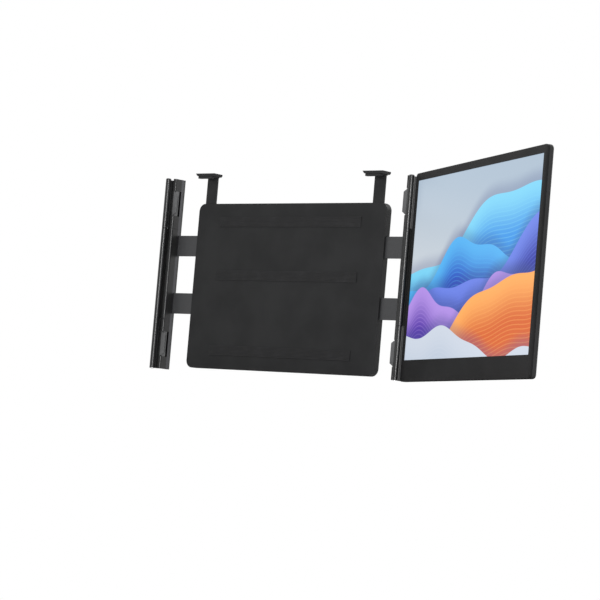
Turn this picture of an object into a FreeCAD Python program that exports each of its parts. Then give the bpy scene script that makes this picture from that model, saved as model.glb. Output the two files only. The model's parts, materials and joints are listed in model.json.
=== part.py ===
import FreeCAD, Part
import os
import Sketcher

# Laptop screen extender: a cradle that hangs on a laptop's lid, with a hinged monitor on its right.
# Frame: X to the right, Y away from the user, Z up along the lid. The lid's back rests at Y = 0 and the
# origin lies on the middle rest pad. Both columns are centred on Z = 0. Lengths are in millimetres.

DRIVING_SIZES = {
    # lid that the cradle is set for
    "lid_width": 357.0,
    "lid_thickness": 6.0,
    "lid_top": 117.0,
    "lid_gap": 1.0,
    "touch_gap": 0.1,
    # columns
    "column_inset": 1.5,
    "end_segment_length": 60.5,
    "band_width": 4.8,
    "band_setback": 3.15,
    "band_back": 1.5,
    "band_wall": 1.0,
    "band_round": 1.8,
    "band_end_round": 0.5,
    "barrel_radius": 3.2,
    "barrel_gap": 1.7,
    "barrel_forward": 6.15,
    "seam": 0.6,
    "tongue_inset": 0.6,
    "web_setback": 4.2,
    "web_thickness": 2.4,
    "cap_height": 2.0,
    "cap_plug": 2.5,
    "rail_thickness": 2.7,
    "back_cover_thickness": 1.9,
    "back_cover_wall": 0.7,
    # hinge pins
    "pin_radius": 1.5,
    "running_gap": 0.05,
    "press_gap": 0.01,
    "pin_reach": 20.0,
    "pin_nose": 0.7,
    "washer_radius": 2.9,
    "washer_thickness": 0.5,
    # arms
    "arm_thickness": 2.0,
    "arm_height": 25.0,
    "arm_level": 35.0,
    "arm_tip": 62.0,
    "arm_layer": 4.2,
    "arm_clearance": 0.2,
    "arm_strip_inset": 0.6,
    # jaws
    "jaw_from_end": 30.0,
    "jaw_length": 30.0,
    "jaw_tip_length": 22.4,
    "jaw_overlap": 2.2,
    "jaw_root": 2.4,
    "jaw_thickness": 1.9,
    "jaw_pad_thickness": 0.9,
    "jaw_pad_length": 20.0,
    "jaw_out": 0.8,
    "jaw_in": 3.0,
    "jaw_flange": 2.5,
    "jaw_tail": 5.4,
    "jaw_slide_gap": 0.2,
    # hooks
    "hook_place": 130.5,
    "hook_width": 30.0,
    "hook_foot_width": 24.4,
    "hook_height": 3.1,
    "hook_lead": 5.3,
    "hook_post_width": 16.0,
    "hook_post_thickness": 2.0,
    "hook_post_layer": 3.3,
    "hook_post_length": 62.0,
    "hook_pad_thickness": 1.0,
    "hook_lip_width": 22.0,
    "hook_lip_drop": 1.8,
    "hook_lip_inset": 0.8,
    # cradle
    "cradle_width": 292.0,
    "cradle_top": 86.0,
    "cradle_bottom": -112.0,
    "cradle_back": 11.2,
    "cradle_corner": 9.0,
    "front_shell_thickness": 1.6,
    "rest_pad_thickness": 1.0,
    "rest_pad_width": 220.0,
    "rest_pad_height": 12.0,
    "rest_pad_inset": 22.0,
    "shell_wall": 2.0,
    "shell_skin": 1.6,
    "shell_corner_block": 10.0,
    "shell_screw_inset": 6.5,
    "middle_screw_level": -14.0,
    "guide_length": 68.0,
    "guide_back_wall": 0.8,
    "brake_pad_length": 11.0,
    "brake_pad_height": 18.0,
    # kickstand
    "stand_width": 120.0,
    "stand_hinge_level": 62.0,
    "stand_thickness": 2.0,
    "stand_gap": 0.3,
    "stand_barrel_radius": 1.5,
    "stand_pin_radius": 0.8,
    "stand_foot_height": 6.0,
    "stand_foot_lift": 1.0,
    "stand_pin_seat": 6.0,
    "stand_panel_inset": 14.0,
    "stand_panel_bottom": 40.0,
    "stand_panel_top": 30.0,
    # monitor
    "monitor_turn": 30.45,
    "monitor_start": 2.0,
    "monitor_reach": 361.4,
    "monitor_height": 234.0,
    "monitor_front": 4.5,
    "monitor_thickness": 8.7,
    "monitor_corner": 4.5,
    "display_start": 10.2,
    "side_rim": 6.2,
    "top_rim": 8.8,
    "chin": 23.9,
    "bezel_depth": 2.7,
    "bezel_lip": 0.7,
    "bezel_wall": 1.6,
    "bezel_round": 1.0,
    "groove": 0.6,
    "groove_depth": 0.8,
    "tongue_corner": 2.2,
    "cover_skin": 1.4,
    "cover_wall": 2.6,
    "cover_round": 3.0,
    "cover_bevel": 3.6,
    "hinge_wall": 7.0,
    "hinge_skin": 0.8,
    "glass_lap": 0.6,
    "glass_thickness": 0.7,
    "panel_thickness": 1.0,
    "guide_thickness": 1.6,
    "tray_thickness": 0.4,
    "bracket_thickness": 1.2,
    "bracket_height": 100.0,
    "bracket_reach": 45.0,
    "bracket_step": 1.4,
    "lamp_strip_height": 1.5,
    "board_thickness": 1.0,
    "board_start": 3.0,
    "board_length": 115.0,
    "board_margin": 3.0,
    "chip_width": 8.0,
    "chip_inset": 1.0,
    "chip_height": 1.0,
    "switch_width": 3.0,
    "switch_height": 0.6,
    "socket_height": 3.0,
    "socket_depth": 8.4,
    "socket_wall": 0.3,
    "socket_recess": 0.4,
    "data_socket_width": 8.9,
    "video_socket_width": 11.2,
    "data_socket_place": 60.0,
    "data_socket_pitch": 16.0,
    "video_socket_place": 95.0,
    "speaker_length": 28.0,
    "speaker_place": 40.0,
    "speaker_pitch": 60.0,
    "speaker_slot_length": 20.0,
    "speaker_slot_width": 1.1,
    "speaker_slot_pitch": 2.2,
    "speaker_slots": 6,
    "button_height": 5.0,
    "button_lift": 5.0,
    "power_button_place": 14.0,
    "power_button_width": 7.0,
    "menu_button_place": 32.0,
    "menu_button_width": 16.0,
    "button_flange": 0.8,
    "button_flange_thickness": 0.7,
    "button_proud": 0.5,
    # fasteners
    "screw_radius": 0.95,
    "screw_hole_radius": 1.0,
    "screw_head_radius": 1.7,
    "screw_head_height": 0.9,
    "column_screw_offset": 24.0,
    "cover_screw_level": 32.0,
    "column_screw_depth": 4.5,
    "monitor_screw_inset": 5.0,
    "monitor_screw_side": 5.2,
    "monitor_screw_start": 60.0,
    "monitor_screw_web": 6.0,
}


class Size:
    """A length that knows both its value and the sheet expression that gives it."""

    def __init__(self, number, text):
        self.number = number
        self.text = text

    def __float__(self):
        return self.number

    def __add__(self, other):
        other = as_size(other)
        return Size(self.number + other.number, f"({self.text} + {other.text})")

    def __radd__(self, other):
        return as_size(other) + self

    def __sub__(self, other):
        other = as_size(other)
        return Size(self.number - other.number, f"({self.text} - {other.text})")

    def __rsub__(self, other):
        return as_size(other) - self

    def __mul__(self, factor):
        return Size(self.number * factor, f"({self.text} * {factor})")

    def __rmul__(self, factor):
        return self * factor

    def __truediv__(self, divisor):
        return Size(self.number / divisor, f"({self.text} / {divisor})")

    def __neg__(self):
        return Size(-self.number, f"(0 - {self.text})")


def as_size(value):
    return value if isinstance(value, Size) else Size(float(value), f"({float(value)})")


doc = FreeCAD.newDocument("ScreenExtender")
sheet = doc.addObject("Spreadsheet::Sheet", "Sizes")
for row, (alias, number) in enumerate(DRIVING_SIZES.items(), start=1):
    sheet.set(f"A{row}", alias)
    sheet.set(f"B{row}", str(number))
    sheet.setAlias(f"B{row}", alias)
doc.recompute()


class Sheet:
    """Each driving size, read from its cell, as an attribute."""

    def __getattr__(self, alias):
        return Size(float(sheet.get(alias)), f"Sizes.{alias}")


s = Sheet()


# Helpers for bodies

PLANES = {"XY": "XY_Plane", "XZ": "XZ_Plane", "YZ": "YZ_Plane"}


def new_body(label):
    body = doc.addObject("PartDesign::Body", "body_" + label)
    body.Label = label
    return body


def bind(thing, path, size):
    thing.setExpression(path, as_size(size).text)


def place(thing, x=0, y=0, z=0):
    for axis, size in zip("xyz", (x, y, z)):
        bind(thing, f"Placement.Base.{axis}", size)


def rectangle(a0, b0, a1, b1):
    return [(a0, b0), (a1, b0), (a1, b1), (a0, b1)]


def disc(a, b, radius):
    return ("disc", a, b, radius)


def draw(sketch, outline):
    """Draws one closed outline: a disc, or straight edges through corner points."""
    first = sketch.GeometryCount
    if outline[0] == "disc":
        _, a, b, radius = outline
        centre = FreeCAD.Vector(float(a), float(b), 0)
        sketch.addGeometry(Part.Circle(centre, FreeCAD.Vector(0, 0, 1), float(radius)), False)
        rules = [
            (Sketcher.Constraint("Radius", first, float(radius)), radius),
            (Sketcher.Constraint("DistanceX", -1, 1, first, 3, float(a)), a),
            (Sketcher.Constraint("DistanceY", -1, 1, first, 3, float(b)), b),
        ]
    else:
        count = len(outline)
        corners = [FreeCAD.Vector(float(a), float(b), 0) for a, b in outline]
        for i in range(count):
            sketch.addGeometry(Part.LineSegment(corners[i], corners[(i + 1) % count]), False)
        for i in range(count):
            sketch.addConstraint(Sketcher.Constraint("Coincident", first + i, 2, first + (i + 1) % count, 1))
        rules = []
        for i, (a, b) in enumerate(outline):
            rules.append((Sketcher.Constraint("DistanceX", -1, 1, first + i, 1, float(a)), a))
            rules.append((Sketcher.Constraint("DistanceY", -1, 1, first + i, 1, float(b)), b))
    for rule, size in rules:
        index = sketch.addConstraint(rule)
        bind(sketch, f"Constraints[{index}]", size)


def sketch_on(body, plane, outlines, level):
    """A sketch on one of the body's own origin planes, moved along that plane's axis to a level."""
    sketch = body.newObject("Sketcher::SketchObject", "outline")
    support = [f for f in body.Origin.OriginFeatures if f.Role == PLANES[plane]][0]
    sketch.AttachmentSupport = [(support, "")]
    sketch.MapMode = "FlatFace"
    bind(sketch, "AttachmentOffset.Base.z", -as_size(level) if plane == "XZ" else level)
    for outline in outlines:
        draw(sketch, outline)
    return sketch


def pad(body, plane, outlines, low, high):
    """Adds material from low to high along the plane's axis. The XZ plane's normal points to -Y."""
    low, high = as_size(low), as_size(high)
    start = high if plane == "XZ" else low
    feature = body.newObject("PartDesign::Pad", "pad")
    feature.Profile = sketch_on(body, plane, outlines, start)
    bind(feature, "Length", high - low)
    return feature


def pocket(body, plane, outlines, low, high):
    """Cuts material from low to high along the plane's axis, and checks that something was cut."""
    low, high = as_size(low), as_size(high)
    doc.recompute()
    before = body.Shape.Volume
    start = low if plane == "XZ" else high
    feature = body.newObject("PartDesign::Pocket", "pocket")
    feature.Profile = sketch_on(body, plane, outlines, start)
    bind(feature, "Length", high - low)
    doc.recompute()
    if body.Shape.Volume >= before:
        raise RuntimeError(f"{body.Label}: a pocket cut nothing")
    return feature


def round_edges(body, radius, wanted, kind="PartDesign::Fillet"):
    """Rounds or bevels the edges whose direction and middle point pass the test."""
    doc.recompute()
    tip = body.Tip
    names = []
    for number, edge in enumerate(tip.Shape.Edges, start=1):
        if edge.Length > 0.01 and not edge.Degenerated:
            middle = edge.valueAt((edge.FirstParameter + edge.LastParameter) / 2)
            box = edge.BoundBox
            if wanted(middle, (box.XLength, box.YLength, box.ZLength)):
                names.append(f"Edge{number}")
    if not names:
        raise RuntimeError(f"{body.Label}: no edge to round")
    feature = body.newObject(kind, "rounding")
    feature.Base = (tip, names)
    bind(feature, "Size" if kind.endswith("Chamfer") else "Radius", radius)
    doc.recompute()
    return feature


def near(value, target):
    return abs(value - float(target)) < 0.02


# Helpers for simple solids

def block(name, x0, x1, y0, y1, z0, z1):
    x0, x1, y0, y1, z0, z1 = [as_size(v) for v in (x0, x1, y0, y1, z0, z1)]
    box = doc.addObject("Part::Box", name)
    bind(box, "Length", x1 - x0)
    bind(box, "Width", y1 - y0)
    bind(box, "Height", z1 - z0)
    place(box, x0, y0, z0)
    return box


TURNS = {
    "z": FreeCAD.Rotation(),
    "x": FreeCAD.Rotation(FreeCAD.Vector(0, 1, 0), 90),
    "y": FreeCAD.Rotation(FreeCAD.Vector(1, 0, 0), -90),
}


def rod(name, axis, x, y, z, radius, length):
    """A cylinder that starts at x, y, z and runs along the axis."""
    cylinder = doc.addObject("Part::Cylinder", name)
    bind(cylinder, "Radius", radius)
    bind(cylinder, "Height", length)
    cylinder.Placement = FreeCAD.Placement(FreeCAD.Vector(), TURNS[axis])
    place(cylinder, x, y, z)
    return cylinder


def group(label, members):
    """Several separate solids that share one node."""
    compound = doc.addObject("Part::Compound", "group_" + label)
    compound.Links = members
    compound.Label = label
    return compound


def joined(label, members):
    union = doc.addObject("Part::MultiFuse", "joined_" + label)
    union.Shapes = members
    union.Refine = True
    union.Label = label
    return union


def without(label, base, tool):
    cut = doc.addObject("Part::Cut", "cut_" + label)
    cut.Base = base
    cut.Tool = tool
    cut.Label = label
    return cut


def screw(name, axis, x, y, z, length, head_at_end):
    """A screw along an axis from x, y, z: shank of the given length, and a head at one end."""
    shank = rod(name + "_shank", axis, x, y, z, s.screw_radius, length)
    start = as_size(length) if head_at_end else -s.screw_head_height
    offset = {"x": (start, 0, 0), "y": (0, start, 0), "z": (0, 0, start)}[axis]
    spot = [as_size(a) + b for a, b in zip((x, y, z), offset)]
    head = rod(name + "_head", axis, *spot, s.screw_head_radius, s.screw_head_height)
    return joined(name, [shank, head])


pieces = []


def keep(*things):
    pieces.extend(things)


def label_side(side):
    return "right" if side > 0 else "left"


def spans(side, near_x, far_x):
    """Low and high X of a stretch that is given for the right side, on either side."""
    return (near_x, far_x) if side > 0 else (-as_size(far_x), -as_size(near_x))


# Places that several pieces share

lid_edge = s.lid_width / 2
band_in = lid_edge + s.lid_gap
band_out = band_in + s.band_width
axis_x = band_out + s.barrel_gap + s.barrel_radius
axis_y = -(s.lid_thickness + s.barrel_forward)
band_front = axis_y + s.band_setback
column_top = s.monitor_height / 2 - s.column_inset
seam_level = column_top - s.end_segment_length
middle_top = seam_level - s.seam / 2
end_start = seam_level + s.seam / 2
jaw_level = column_top - s.jaw_from_end
rail_front = s.band_back
rail_back = rail_front + s.rail_thickness
arm_back = rail_back + s.arm_thickness
jaw_back = -(s.lid_thickness + s.touch_gap + s.jaw_pad_thickness)
jaw_front = jaw_back - s.jaw_thickness
slot_front = jaw_back - s.jaw_out - s.touch_gap
jaw_rear = jaw_back + s.jaw_tail
jaw_tip = lid_edge - s.jaw_overlap
jaw_root_edge = band_in + s.jaw_root
end_screw_levels = [jaw_level - s.column_screw_offset, jaw_level + s.column_screw_offset]
cover_screw_levels = [s.cover_screw_level, -s.cover_screw_level]


# Columns

def band_block(body, side, low, high):
    """The flat inner band of a column, which lies behind its barrel, with rounded front edges."""
    x0, x1 = spans(side, band_in, band_out)
    pad(body, "XY", [rectangle(x0, band_front, x1, s.band_back)], low, high)
    inner, outer = side * float(band_in), side * float(band_out)

    def front_upright(middle, box, x):
        return near(middle.x, x) and near(middle.y, band_front) and box[2] > 10

    round_edges(body, s.band_round, lambda m, b: front_upright(m, b, inner))
    round_edges(body, s.band_round / 2, lambda m, b: front_upright(m, b, outer))


def web_outline(side):
    """The crooked web from the barrel's back to the band, clear of the turning monitor."""
    r, front, back = s.barrel_radius, s.web_setback, s.web_setback + s.web_thickness
    inside = s.barrel_radius + s.barrel_gap + s.band_wall
    corners = [(0.75 * r, 0.6 * r), (r, front), (inside, front), (inside, back), (0.75 * r, back),
               (0.4 * r, front + s.web_thickness / 4), (0.1 * r, 0.9 * r)]
    return [(side * (axis_x - x), axis_y + y) for x, y in corners]


def end_knuckle(side, end):
    """An end segment of a column: band, barrel, web between them, jaw pocket and pin bore."""
    up = end == "upper"
    body = new_body(f"{label_side(side)}_{end}_knuckle")
    low, high = (end_start, column_top) if up else (-column_top, -end_start)
    band_block(body, side, low, high)
    outer_end = float(high if up else low)

    def end_rim(middle, box):
        return near(middle.z, outer_end) and middle.y < float(s.band_back) - 0.5

    round_edges(body, s.band_end_round, end_rim)
    barrel_low, barrel_high = (low, high - s.cap_height) if up else (low, high)
    pad(body, "XY", [web_outline(side)], barrel_low, barrel_high)
    pad(body, "XY", [disc(side * axis_x, axis_y, s.barrel_radius)], barrel_low, barrel_high)
    pocket(body, "XY", [disc(side * axis_x, axis_y, s.pin_radius + s.press_gap)],
           barrel_low, barrel_high)
    level = jaw_level if up else -jaw_level
    inside = s.jaw_length / 2 + s.jaw_flange + s.jaw_slide_gap
    x0, x1 = spans(side, band_in + s.band_wall, band_out - s.band_wall)
    pocket(body, "YZ", [rectangle(slot_front, level - inside, s.band_back, level + inside)], x0, x1)
    window = s.jaw_length / 2 + s.jaw_slide_gap
    x0, x1 = spans(side, band_in, band_in + s.band_wall)
    pocket(body, "YZ", [rectangle(band_front, level - window, s.band_back, level + window)], x0, x1)
    x0, x1 = spans(side, band_in + s.band_wall, jaw_root_edge + s.jaw_slide_gap)
    pocket(body, "YZ", [rectangle(band_front, level - window, slot_front, level + window)], x0, x1)
    middle = side * (band_in + band_out) / 2
    for place_z in end_screw_levels:
        spot = place_z if up else -place_z
        pocket(body, "XZ", [disc(middle, spot, s.screw_hole_radius)],
               s.band_back - s.column_screw_depth - s.touch_gap, s.band_back)
    return body


def middle_cover(side, with_web):
    """The band between the two seams, hollow from behind, with a web behind a blank barrel."""
    body = new_body(f"{label_side(side)}_middle_cover")
    band_block(body, side, -middle_top, middle_top)
    tongue_end = middle_top + s.seam - s.touch_gap
    if with_web:
        x0, x1 = spans(side, band_out - s.band_wall, axis_x)
        web_front = axis_y + s.web_setback
        pad(body, "XY", [rectangle(x0, web_front, x1, web_front + s.web_thickness)], -tongue_end, tongue_end)
    x0, x1 = spans(side, band_in + s.tongue_inset, band_out - s.tongue_inset)
    pad(body, "XY", [rectangle(x0, band_front + s.tongue_inset, x1, s.band_back)], -tongue_end, tongue_end)
    x0, x1 = spans(side, band_in + s.band_wall, band_out - s.band_wall)
    end = middle_top - s.cap_height
    boss_low, boss_high = s.cover_screw_level - s.band_width / 2, s.cover_screw_level + s.band_width / 2
    hollow = [rectangle(x0, boss_high, x1, end), rectangle(x0, -boss_low, x1, boss_low),
              rectangle(x0, -end, x1, -boss_high)]
    pocket(body, "XZ", hollow, band_front + 1.2 * s.band_round, s.band_back)
    for level in cover_screw_levels:
        pocket(body, "XZ", [disc(side * (band_in + band_out) / 2, level, s.screw_hole_radius)],
               s.band_back - s.column_screw_depth - s.touch_gap, s.band_back)
    return body


def column_screw_spots():
    ends = [sign * level for sign in (1, -1) for level in end_screw_levels]
    return ends + cover_screw_levels


def column_rail(side):
    """The metal bar that the segments are screwed to."""
    body = new_body(f"{label_side(side)}_column_rail")
    x0, x1 = spans(side, band_in, band_out)
    pad(body, "XZ", [rectangle(x0, -column_top, x1, column_top)], rail_front, rail_back)
    holes = [disc(side * (band_in + band_out) / 2, z, s.screw_hole_radius) for z in column_screw_spots()]
    pocket(body, "XZ", holes, rail_front, rail_back)
    return body


def arm_plate(side):
    """One stamped plate: an upright strip behind the rail and two tongues that slide in the cradle."""
    body = new_body(f"{label_side(side)}_arm_plate")
    strip = column_top - s.arm_strip_inset
    upper, lower = s.arm_level + s.arm_height / 2, s.arm_level - s.arm_height / 2
    corners = [(band_out, -strip), (band_out, strip), (band_in, strip), (band_in, upper), (s.arm_tip, upper),
               (s.arm_tip, lower), (band_in, lower), (band_in, -lower), (s.arm_tip, -lower),
               (s.arm_tip, -upper), (band_in, -upper), (band_in, -strip)]
    pad(body, "XZ", [[(side * x, z) for x, z in corners]], rail_back, arm_back)
    holes = [disc(side * (band_in + band_out) / 2, z, s.screw_hole_radius) for z in column_screw_spots()]
    pocket(body, "XZ", holes, rail_back, arm_back)
    tip = side * float(s.arm_tip)
    round_edges(body, s.arm_height / 8, lambda m, b: near(m.x, tip) and b[1] > 1 and b[2] < 0.1)
    return body


def back_cover(side):
    """The strip that hides the screw heads behind a column."""
    body = new_body(f"{label_side(side)}_back_cover")
    x0, x1 = spans(side, band_in, band_out)
    back = arm_back + s.back_cover_thickness
    pad(body, "XZ", [rectangle(x0, -column_top, x1, column_top)], arm_back, back)
    x0, x1 = x0 + s.back_cover_wall / 2, x1 - s.back_cover_wall / 2
    end = column_top - s.cap_height
    pocket(body, "XZ", [rectangle(x0, -end, x1, end)], arm_back,
           arm_back + s.screw_head_height + s.touch_gap)
    round_edges(body, s.back_cover_wall, lambda m, b: near(m.y, back) and b[2] > 10)
    return body


def column_screws(side):
    label = f"{label_side(side)}_column_screws"
    middle = side * (band_in + band_out) / 2
    start = s.band_back - s.column_screw_depth
    members = [screw(f"{label}_{i}", "y", middle, start, z, arm_back - start, True)
               for i, z in enumerate(column_screw_spots())]
    return group(label, members)


def hinge_pins(side):
    """Two steel pins: each is pressed into an end knuckle and turns in the middle barrel."""
    label = f"{label_side(side)}_hinge_pins"
    tip = seam_level - s.pin_reach
    top = column_top - s.cap_height - s.cap_plug - s.touch_gap
    upper = rod(label + "_upper", "z", side * axis_x, axis_y, tip, s.pin_radius, top - tip)
    bottom = -(column_top + s.pin_nose)
    lower = rod(label + "_lower", "z", side * axis_x, axis_y, bottom, s.pin_radius, -tip - bottom)
    return group(label, [upper, lower])


def friction_washers(side):
    """A washer on each pin, in the seam between the barrels."""
    label = f"{label_side(side)}_friction_washers"
    members = []
    for i, level in enumerate((seam_level, -seam_level)):
        low = level - s.washer_thickness / 2
        outer = rod(f"{label}_disc_{i}", "z", side * axis_x, axis_y, low, s.washer_radius, s.washer_thickness)
        inner = rod(f"{label}_bore_{i}", "z", side * axis_x, axis_y, low, s.pin_radius + s.running_gap,
                    s.washer_thickness)
        members.append(without(f"{label}_{i}", outer, inner))
    return group(label, members)


def barrel_cap(side):
    """A rounded cap on top of the upper barrel, with a plug in the pin's bore."""
    body = new_body(f"{label_side(side)}_barrel_cap")
    low = column_top - s.cap_height
    pad(body, "XY", [disc(0, 0, s.barrel_radius)], low, column_top)
    pad(body, "XY", [disc(0, 0, s.pin_radius - s.running_gap)], low - s.cap_plug, low)
    round_edges(body, s.cap_height * 0.7, lambda m, b: near(m.z, column_top))
    place(body, side * axis_x, axis_y)
    return body


def blank_barrel(side):
    """The plain middle barrel of the column that carries no monitor."""
    body = new_body(f"{label_side(side)}_blank_barrel")
    pad(body, "XY", [disc(0, 0, s.barrel_radius)], -middle_top, middle_top)
    cut_bearing_bores(body)
    place(body, side * axis_x, axis_y)
    return body


def cut_bearing_bores(body):
    """A bore at each end of a middle barrel, in which a pin turns."""
    bottom = seam_level - s.pin_reach - s.touch_gap
    for low, high in ((bottom, middle_top), (-middle_top, -bottom)):
        pocket(body, "XY", [disc(0, 0, s.pin_radius + s.running_gap)], low, high)


def build_column(side):
    keep(end_knuckle(side, "upper"), end_knuckle(side, "lower"), middle_cover(side, side < 0))
    keep(column_rail(side), arm_plate(side), back_cover(side), column_screws(side), hinge_pins(side),
         friction_washers(side), barrel_cap(side))


# Jaws

def jaw(side, end):
    """A jaw: the slanted plate before the lid's edge, and the slider that runs inside the band."""
    level = jaw_level if end == "upper" else -jaw_level
    body = new_body(f"{label_side(side)}_{end}_jaw")
    root, tip = s.jaw_length / 2, s.jaw_tip_length / 2
    inner = band_in + s.band_wall + s.jaw_slide_gap
    outer = band_out - s.band_wall - s.jaw_slide_gap
    corners = [(jaw_tip, -tip), (jaw_root_edge, -root), (jaw_root_edge, root), (jaw_tip, tip)]
    pad(body, "XZ", [[(side * x, level + z) for x, z in corners]], jaw_front, jaw_back)
    x0, x1 = spans(side, inner, outer)
    wide = root + s.jaw_flange
    pad(body, "XZ", [rectangle(x0, level - wide, x1, level + wide)], jaw_back, jaw_rear)
    x0, x1 = spans(side, band_in, inner)
    pad(body, "XZ", [rectangle(x0, level - root, x1, level + root)], jaw_back, jaw_rear)
    tip_x = side * float(jaw_tip)

    def tip_edge(middle, box):
        return near(middle.y, jaw_front) and near(middle.x, tip_x) and box[2] > 10

    round_edges(body, s.jaw_thickness / 4, tip_edge)
    return body


def jaw_pad(side, end):
    level = jaw_level if end == "upper" else -jaw_level
    body = new_body(f"{label_side(side)}_{end}_jaw_pad")
    x0, x1 = spans(side, jaw_tip + s.jaw_slide_gap, band_in - s.jaw_slide_gap)
    half = s.jaw_pad_length / 2
    pad(body, "XZ", [rectangle(x0, level - half, x1, level + half)], jaw_back, jaw_back + s.jaw_pad_thickness)
    return body


# Hooks

hook_low = s.lid_top + s.touch_gap + s.hook_pad_thickness
hook_high = hook_low + s.hook_height
hook_front = -(s.lid_thickness + s.hook_lead)
post_front = s.hook_post_layer
post_back = post_front + s.hook_post_thickness


def hook(side):
    """A hook: a plate with slanted ends over the lid's top edge, and a flat post down into the cradle."""
    body = new_body(f"{label_side(side)}_hook")
    middle = side * s.hook_place
    top, foot = s.hook_width / 2, s.hook_foot_width / 2
    outline = [(middle - foot, hook_low), (middle + foot, hook_low), (middle + top, hook_high),
               (middle - top, hook_high)]
    pad(body, "XZ", [outline], hook_front, post_back)
    post = s.hook_post_width / 2
    pad(body, "XZ", [rectangle(middle - post, hook_low - s.hook_post_length, middle + post, hook_low)],
        post_front, post_back)

    def top_edge(middle, box, y):
        return near(middle.z, hook_high) and near(middle.y, y) and box[0] > 10

    round_edges(body, s.hook_height / 2, lambda m, b: top_edge(m, b, post_back), "PartDesign::Chamfer")
    round_edges(body, s.hook_height / 6, lambda m, b: top_edge(m, b, hook_front))
    return body


def hook_pad(side):
    """The rubber under a hook, with a narrower lip that hangs before the lid."""
    body = new_body(f"{label_side(side)}_hook_pad")
    middle = side * s.hook_place
    half = s.hook_lip_width / 2
    front, lip_back = hook_front + s.hook_lip_inset, -(s.lid_thickness + 2 * s.touch_gap)
    lip_low, seat, back = s.lid_top - s.hook_lip_drop, s.lid_top + s.touch_gap, post_front - s.touch_gap
    profile = [(front, hook_low), (front, lip_low), (lip_back, lip_low), (lip_back, seat), (back, seat),
               (back, hook_low)]
    pad(body, "YZ", [profile], middle - half, middle + half)
    return body


# Cradle

cradle_half = s.cradle_width / 2
shell_front = s.rest_pad_thickness
shell_joint = shell_front + s.front_shell_thickness
stand_top = s.stand_hinge_level
stand_axis_y = s.cradle_back - s.stand_barrel_radius - s.touch_gap
recess_floor = s.cradle_back - s.stand_thickness - s.stand_gap
recess_half = s.stand_width / 2 + s.stand_gap
hollow_back = s.cradle_back - s.shell_skin


def cradle_outline():
    return rectangle(-cradle_half, s.cradle_bottom, cradle_half, s.cradle_top)


def round_cradle_corners(body):
    def corner(middle, box):
        return near(abs(middle.x), cradle_half) and box[1] > 0.5 and box[2] < 0.1

    round_edges(body, s.cradle_corner, corner)


def front_shell():
    """The flat front of the cradle, with a shallow seat for each rest pad."""
    body = new_body("cradle_front_shell")
    pad(body, "XZ", [cradle_outline()], shell_front, shell_joint)
    round_cradle_corners(body)
    front = float(shell_front)
    round_edges(body, s.front_shell_thickness / 3, lambda m, b: near(m.y, front))
    holes = [disc(x, z, s.screw_hole_radius) for x, z in cradle_screw_spots()]
    pocket(body, "XZ", holes, shell_front + s.front_shell_thickness / 2, shell_joint)
    return body


def cradle_screw_spots():
    inset = s.shell_screw_inset
    x, levels = cradle_half - inset, (s.cradle_top - inset, s.cradle_bottom + inset, s.middle_screw_level)
    return [(sign * x, z) for z in levels for sign in (1, -1)]


def rear_shell():
    """The tray that holds the sliding parts, with a recess for the kickstand in its back."""
    body = new_body("cradle_rear_shell")
    pad(body, "XZ", [cradle_outline()], shell_joint, s.cradle_back)
    round_cradle_corners(body)
    back = float(s.cradle_back)
    round_edges(body, s.shell_wall, lambda m, b: near(m.y, back))
    wall = s.shell_wall
    side_in, top_in, bottom_in = cradle_half - wall, s.cradle_top - wall, s.cradle_bottom + wall
    boss = s.shell_corner_block
    inner = [(-side_in, bottom_in + boss), (-side_in + boss, bottom_in + boss), (-side_in + boss, bottom_in),
             (side_in - boss, bottom_in), (side_in - boss, bottom_in + boss), (side_in, bottom_in + boss),
             (side_in, top_in - boss), (side_in - boss, top_in - boss), (side_in - boss, top_in),
             (-side_in + boss, top_in), (-side_in + boss, top_in - boss), (-side_in, top_in - boss)]
    floor = recess_floor - s.shell_skin
    pocket(body, "XZ", [inner], shell_joint, floor)
    deep_start = recess_half + wall
    deep_high = s.cradle_top - wall - boss
    deep_low = s.cradle_bottom + wall + boss
    deep = [rectangle(deep_start, deep_low, side_in, deep_high),
            rectangle(-side_in, deep_low, -deep_start, deep_high)]
    pocket(body, "XZ", deep, floor, hollow_back)
    pocket(body, "XZ", [rectangle(-recess_half, s.cradle_bottom, recess_half, stand_top)],
           recess_floor, s.cradle_back)
    groove = s.stand_barrel_radius + s.stand_gap
    pocket(body, "YZ", [disc(stand_axis_y, stand_top, groove)], -recess_half, recess_half)
    pocket(body, "YZ", [rectangle(stand_axis_y, stand_top - groove, s.cradle_back, stand_top + groove)],
           -recess_half, recess_half)
    pin_half = recess_half + s.stand_pin_seat
    pocket(body, "YZ", [disc(stand_axis_y, stand_top, s.stand_pin_radius + s.press_gap)], -pin_half, pin_half)
    gap = s.arm_clearance
    for sign in (1, -1):
        level, half = sign * s.arm_level, s.arm_height / 2 + gap
        slot = rectangle(rail_back - gap, level - half, arm_back + gap, level + half)
        pocket(body, "YZ", [slot], -cradle_half, -side_in)
        pocket(body, "YZ", [slot], side_in, cradle_half)
        post, middle = s.hook_post_width / 2 + gap, sign * s.hook_place
        slot = rectangle(middle - post, post_front - gap, middle + post, post_back + gap)
        pocket(body, "XY", [slot], s.cradle_top - wall - boss, s.cradle_top)
    holes = [disc(x, z, s.screw_hole_radius) for x, z in cradle_screw_spots()]
    pocket(body, "XZ", holes, shell_joint, s.cradle_back)
    heads = [disc(x, z, s.screw_head_radius + s.arm_clearance) for x, z in cradle_screw_spots()]
    pocket(body, "XZ", heads, s.cradle_back - s.screw_head_height - s.touch_gap, s.cradle_back)
    return body


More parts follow.
